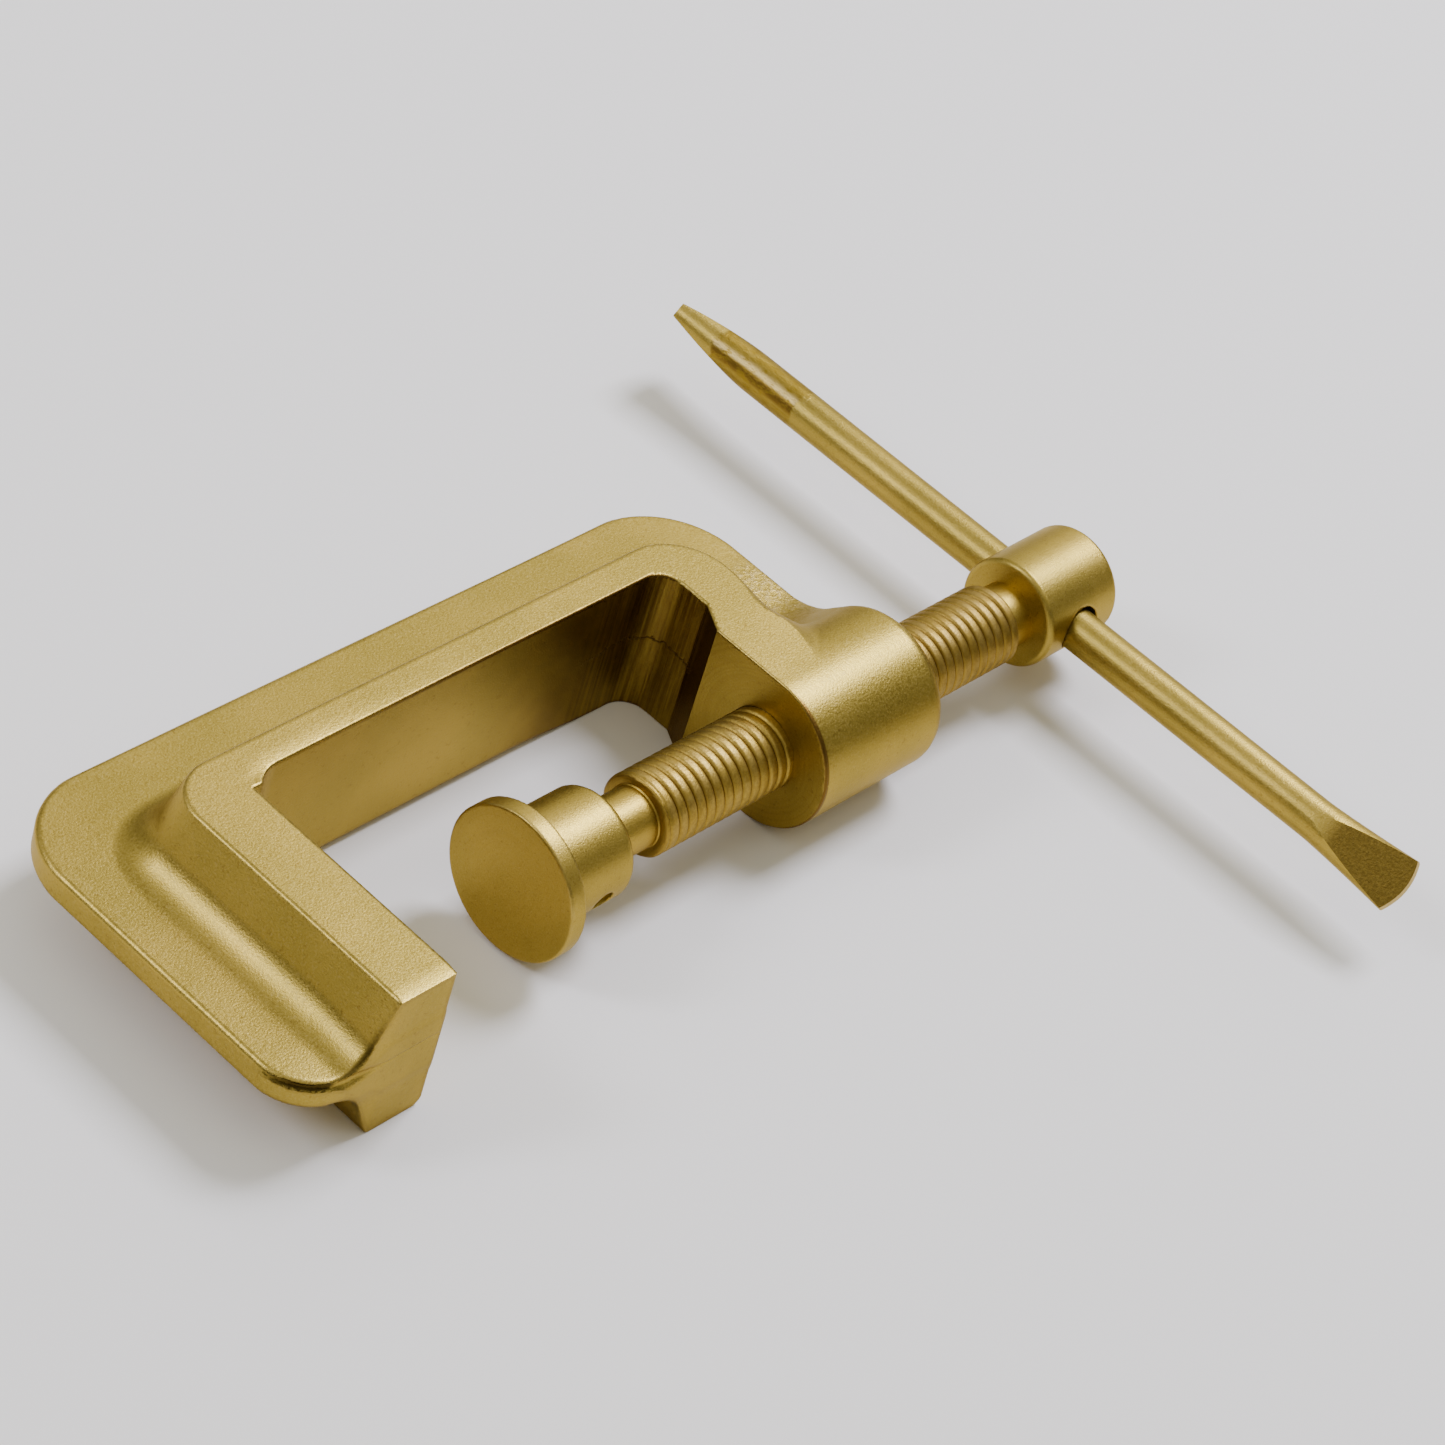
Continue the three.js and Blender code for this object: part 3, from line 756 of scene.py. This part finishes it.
def cast_bronze():
    """The frame: satin, with painted shade in the throat, a filed throat corner, a sandy patch, and a
    torn lip with a painted shadow under it.
    """
    m = Metal("cast_bronze")
    colour, roughness, bump = blasted_skin(m)
    colour, roughness = worn_edges_and_crease_shade(m, colour, roughness, amount=0.16)

    # The machined boss face: fine rings about the bore.
    face = m.product(
        m.inside(m.x, BOSS_FACE_X - 0.6, BOSS_FACE_X + 0.5, 0.15),
        m.between(m.y, BOSS_STEP_Y[0] + 0.5, BOSS_STEP_Y[0] + 1.5, 1.0, 0.0),
    )
    rings = m.noise(0.5, m.lathe_marks(), detail=3.0)
    colour = m.blend(m.product(face, m.between(rings, 0.35, 0.65, 0.05, 0.25)), colour, BROWN)
    bump = m.relief(m.product(face, rings), 0.012, bump)

    # The throat: painted shade in its deep corner by the boss, on its walls that face +Y, and on
    # rounded edges that face -Y, mostly the spine's inner top edge.
    in_throat = m.product(
        m.between(m.x, ARM_INNER_X + 0.5, ARM_INNER_X + 1.0, 1.0, 0.0),
        m.between(m.y, SPINE_INNER_Y + 0.5, SPINE_INNER_Y + 1.0, 1.0, 0.0),
        m.between(m.upward(), 0.25, 0.5, 1.0, 0.0),
    )
    deep = m.product(
        in_throat,
        m.between(m.x, BOSS_FACE_X - 42, BOSS_FACE_X - 12),
        m.between(m.y, BOSS_STEP_Y[0] + 1, BOSS_STEP_Y[1]),
    )
    # painted shade, patchy, in the throat's deep corner by the boss
    colour = m.blend(m.product(deep, m.between(m.noise(9.0), 0.3, 0.7, 0.68, 0.45)), colour, UMBER)
    # painted shade on the throat's walls that face +Y
    step_wall_shade = m.product(in_throat, m.between(m.facing_y, 0.25, 0.45))
    colour = m.blend(m.product(step_wall_shade, 0.9), colour, UMBER)
    # painted shade on rounded edges that face -Y, strongest towards +X, dimming the key light's line
    # along the spine's inner top edge
    throat_edge_shade = m.product(
        m.between(m.attribute("edge"), 0.03, 0.15),
        m.between(m.facing_y, -0.40, -0.12, 1.0, 0.0),
        m.between(m.x, 5.0, 60.0, 0.2, 0.85),
    )
    colour = m.blend(throat_edge_shade, colour, UMBER)

    # That corner was dressed with a file along Z.
    corner = m.product(
        in_throat,
        m.between(m.x, BOSS_FACE_X - 16, BOSS_FACE_X - 7),
        m.between(m.y, BOSS_STEP_Y[0] + 3, BOSS_STEP_Y[1]),
    )
    filed = m.noise(0.7, m.stretched(1.0, 1.0, 0.03), detail=4.0, roughness=0.65)
    colour = m.blend(m.product(corner, m.between(filed, 0.46, 0.64, 0.0, 0.5)), colour, GOLD)
    colour = m.blend(m.product(corner, m.between(filed, 0.34, 0.48, 0.5, 0.0)), colour, UMBER)
    bump = m.relief(m.product(corner, filed), 0.07, bump)
    wander = m.product(m.noise(5.0, detail=5.0, roughness=0.7), 7.0)
    seam = m.product(corner, m.inside(m.math("ADD", m.z, wander), 4.2, 4.6, 0.25))
    colour = m.blend(m.product(seam, 0.8), colour, UMBER)
    bump = m.relief(seam, 0.15, bump)

    # A patch of rougher sand-cast skin on the web where the arm turns into the boss.
    patch = m.product(
        m.inside(m.x, ARM_FLANGE_X + 2, ARM_WEB_X + 4, 1.5),
        m.inside(m.y, BOSS_STEP_Y[0] - 1, BOSS_STEP_Y[1] + 12, 4.0),
        m.between(m.upward(), 0.5, 0.8),
    )
    sandy = m.noise(1.0, detail=4.0, roughness=0.7)
    colour = m.blend(m.product(patch, m.between(sandy, 0.45, 0.62, 0.0, 0.8)), colour, PALE)
    bump = m.relief(m.product(patch, sandy), 0.22, bump)

    # The lip of the web at the tip, where the casting's flash was broken off, with a painted shadow
    # in the groove under it.
    beyond_flange = m.between(m.x, ANVIL_FLANGE_X - 4.0, ANVIL_FLANGE_X - 1.0, 1.0, 0.0)
    torn = m.noise(1.2, detail=4.0, roughness=0.7)
    ragged = m.math("ADD", m.z, m.between(torn, 0.3, 0.7, -0.15, 0.15))
    lip = m.product(
        m.inside(ragged, WEB_EDGE_HALF - 1.9, WEB_EDGE_HALF - 0.35, 0.2),
        m.between(m.y, TIP_Y + 5, TIP_Y + 12, 1.0, 0.0),
        m.between(m.facing_x, -0.35, -0.15, 1.0, 0.0),
        beyond_flange,
    )
    # painted shadow under the torn lip
    colour = m.blend(m.product(lip, 0.9), colour, NEAR_BLACK)
    bump = m.relief(m.product(lip, torn), 0.1, bump)

    # The web's rim, where it faces -X by the tip's square cut edge, darkened nearly black.
    cut_edge = m.product(
        m.between(m.y, TIP_Y + 0.2, TIP_Y + 2.2, 1.0, 0.0),
        m.between(m.facing_y, -0.85, -0.45),
        m.between(m.facing_z, 0.75, 0.95, 1.0, 0.0),
        m.between(m.facing_x, -0.3, -0.15, 1.0, 0.0),
        beyond_flange,
    )
    colour = m.blend(m.product(cut_edge, 0.85), colour, NEAR_BLACK)
    return m.finished(colour, roughness, bump)


def turned_bronze():
    """Turned, then blasted: faint rings about the screw axis under the satin skin."""
    m = Metal("turned_bronze")
    colour, roughness, bump = blasted_skin(m, grain=0.28)
    colour, roughness = worn_edges_and_crease_shade(m, colour, roughness)
    rings = m.noise(0.35, m.lathe_marks(), detail=2.0)
    colour = m.blend(m.between(rings, 0.45, 0.65, 0.0, 0.08), colour, BROWN)
    bump = m.relief(rings, 0.004, bump)
    return m.finished(colour, roughness, bump)


def screw_bronze():
    """The spindle: painted shade deepening into the thread's roots, rubbed crests, and the thread
    darker beyond the boss.
    """
    m = Metal("screw_bronze")
    colour, roughness, bump = blasted_skin(m, GOLD, YELLOW, grain=0.25)
    crest = m.between(m.radius, THREAD_RADIUS - THREAD_DEPTH, THREAD_RADIUS)
    threaded = m.inside(m.x, THREAD_START, THREAD_END, 0.3)
    # painted shade, deepening towards the thread's roots
    root_shade = m.product(threaded, m.between(crest, 0.0, 0.55, 0.75, 0.0))
    colour = m.blend(root_shade, colour, UMBER)
    # the thread past the boss's end made darker
    darker_beyond_boss = m.product(threaded, m.between(m.x, BOSS_END_X - 4, BOSS_END_X), 0.45)
    colour = m.blend(darker_beyond_boss, colour, BROWN)
    worn = m.between(m.noise(3.0), 0.35, 0.6, 0.0, 0.3)
    rubbed = m.product(threaded, m.between(crest, 0.8, 1.0), worn)
    colour = m.blend(rubbed, colour, PALE)
    marks = m.noise(0.5, m.lathe_marks(), detail=2.0)
    bump = m.relief(marks, 0.006, bump)
    grit = m.noise(0.6, detail=3.0, roughness=0.7)
    colour = m.blend(m.product(threaded, m.between(grit, 0.35, 0.65, 0.55, 0.15)), colour, BROWN)
    bump = m.relief(m.product(threaded, grit), 0.03, bump)
    roughness = m.math("ADD", roughness, m.product(threaded, 0.05))
    return m.finished(colour, roughness, bump)


def bar_bronze():
    """Drawn bar, with rough hammered flats and a ground stretch near its far end, with a painted
    highlight along it.
    """
    m = Metal("bar_bronze")
    colour, roughness, bump = blasted_skin(m, grain=0.3)
    hammered = m.noise(0.5, detail=3.0, roughness=0.6)
    near_end = m.between(m.y, BAR_LOW[1] + SWAGE_LENGTH - 5, BAR_LOW[1] + SWAGE_LENGTH, 1.0, 0.0)
    flat = m.product(near_end, m.across(NEAR_FLAT_TILT))
    colour = m.blend(m.product(flat, m.between(hammered, 0.35, 0.65, 0.85, 0.68)), colour, DIRT)
    arched_end = m.between(m.math("ABSOLUTE", m.facing_y), 0.75, 0.9)
    colour = m.blend(m.product(arched_end, 0.8), colour, PALE)
    roughness = m.math("ADD", roughness, m.product(flat, 0.12))
    bump = m.relief(m.product(flat, hammered), 0.10, bump)
    ragged_y = m.math("ADD", m.y, m.product(m.noise(3.0, detail=4.0), 4.0))
    ground = m.inside(ragged_y, *GROUND_Y, 0.5)
    scratched = m.noise(1.1, m.stretched(1.0, 0.35, 1.0), detail=4.0, roughness=0.75)
    colour = m.blend(m.product(ground, m.between(scratched, 0.3, 0.65, 1.0, 0.5)), colour, SCRATCHED)
    streak = m.product(ground, m.inside(m.z, 0.2, 2.0, 0.5), m.between(scratched, 0.35, 0.55))
    colour = m.blend(m.product(streak, 0.75), colour, UMBER)
    # painted highlight along the bar's lit centre line in the ground stretch
    painted_highlight = m.product(ground, m.inside(m.z, 2.1, 3.1, 0.3), m.between(scratched, 0.35, 0.5))
    colour = m.blend(m.product(painted_highlight, 0.8), colour, PALE)
    bump = m.relief(m.product(ground, scratched), 0.10, bump)
    drawn = m.noise(0.5, m.stretched(1.0, 0.03, 1.0), detail=2.0)
    colour = m.blend(m.between(drawn, 0.45, 0.65, 0.0, 0.12), colour, BROWN)
    bump = m.relief(drawn, 0.0015, bump)
    return m.finished(colour, roughness, bump)


# ------------------------------------------------------------------ assembly


def placed(piece, body, node, material):
    piece.data.materials.append(material)
    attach(piece, body)
    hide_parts(node)


LIGHT_TINT = (1.0, 1.05, 1.5)
FLOOR_COLOUR = (0.88, 0.83, 0.66)


def studio():
    """A pale floor, a soft dome of light that is brightest behind and above, and two softboxes."""
    half = 6.0  # metres
    floor_z = FRAME_LOW[2] * MM
    mesh = bpy.data.meshes.new("floor")
    square = [(-half, -half), (half, -half), (half, half), (-half, half)]
    mesh.from_pydata([(x, y, floor_z) for x, y in square], [], [(0, 1, 2, 3)])
    floor = bpy.data.objects.new("floor", mesh)
    bpy.context.scene.collection.objects.link(floor)
    paper = bpy.data.materials.new("paper")
    paper.use_nodes = True
    shader = paper.node_tree.nodes["Principled BSDF"]
    shader.inputs["Base Color"].default_value = (*FLOOR_COLOUR, 1)
    shader.inputs["Roughness"].default_value = 0.9
    mesh.materials.append(paper)

    patches = [
        (212, 65, 6, 1.0),
        (-60, 58, 12, 0.6),
        (-40, 20, 14, 0.25),
        (34, 30, 14, 1.85),
        (108, 42, 10, 0.9),
    ]
    dome(0.05, patches, backdrop=1.2)
    softbox("key", azimuth=0, elevation=56, distance=1.5, size=(0.5, 0.6), radiance=24.0)
    softbox("side", azimuth=145, elevation=40, distance=1.5, size=(0.35, 0.45), radiance=14.5)


def direction(azimuth, elevation):
    a, e = math.radians(azimuth), math.radians(elevation)
    return Vector((math.cos(a) * math.cos(e), math.sin(a) * math.cos(e), math.sin(e)))


def dome(glow, patches, backdrop):
    """A dim world with broad soft patches, each (azimuth, elevation, tightness, radiance).

    The camera sees an even, pale backdrop in its place.
    """
    world = bpy.data.worlds.new("studio")
    bpy.context.scene.world = world
    sky = Nodes(world)
    place = sky.tree.nodes.new("ShaderNodeTexCoord")
    total = glow
    for azimuth, elevation, tightness, radiance in patches:
        aim = direction(azimuth, elevation)
        along = sky.vector("DOT_PRODUCT", place.outputs["Generated"], aim, output="Value")
        fade = sky.math("EXPONENT", sky.math("MULTIPLY", sky.math("SUBTRACT", along, 1.0), tightness))
        total = sky.math("ADD", sky.math("MULTIPLY", fade, radiance), total)
    path = sky.tree.nodes.new("ShaderNodeLightPath")
    seen = sky.add("Mix", {0: path.outputs["Is Camera Ray"], 2: total, 3: backdrop})
    sky.tree.links.new(seen, sky.tree.nodes["Background"].inputs["Color"])


def softbox(name, azimuth, elevation, distance, size, radiance):
    """A rectangular light that faces the clamp. Its power is set from its own brightness."""
    light = bpy.data.lights.new(name, "AREA")
    light.shape = "RECTANGLE"
    light.size, light.size_y = size
    light.energy = radiance * math.pi * size[0] * size[1]
    light.color = LIGHT_TINT
    lamp = bpy.data.objects.new(name, light)
    aim = direction(azimuth, elevation)
    target = (FRAME_LOW + FRAME_HIGH) / 2 * MM
    lamp.location = Vector(target) + aim * distance
    lamp.rotation_mode = "QUATERNION"
    lamp.rotation_quaternion = aim.to_track_quat("Z", "Y")
    bpy.context.scene.collection.objects.link(lamp)


def camera():
    """The photograph's viewpoint, found by fitting the model's outlines to it."""
    data = bpy.data.cameras.new("camera")
    data.sensor_width = 36.0
    data.lens = 118.89
    eye = bpy.data.objects.new("camera", data)
    right = Vector((0.67180, -0.70142, 0.23812))
    up = Vector((0.35990, 0.59004, 0.72272))
    back = right.cross(up)
    turn = Matrix((right, up, back)).transposed().to_4x4()
    eye.matrix_world = Matrix.Translation(Vector((-450.206, -329.507, 548.139)) * MM) @ turn
    bpy.context.scene.collection.objects.link(eye)
    bpy.context.scene.camera = eye


cast = cast_bronze()
placed(frame_piece(), "frame", "frame", cast)
screw = screw_bronze()
placed(screw_piece(), "spindle", "spindle", screw)
turned = turned_bronze()
placed(head_piece(), "spindle", "spindle", turned)
placed(pad_piece(), "pad", "swivel_pad", turned)
placed(pin_piece(), "pad", "retaining_pin", turned)
placed(bar_piece(), "tommy_bar", "tommy_bar", bar_bronze())
studio()
camera()
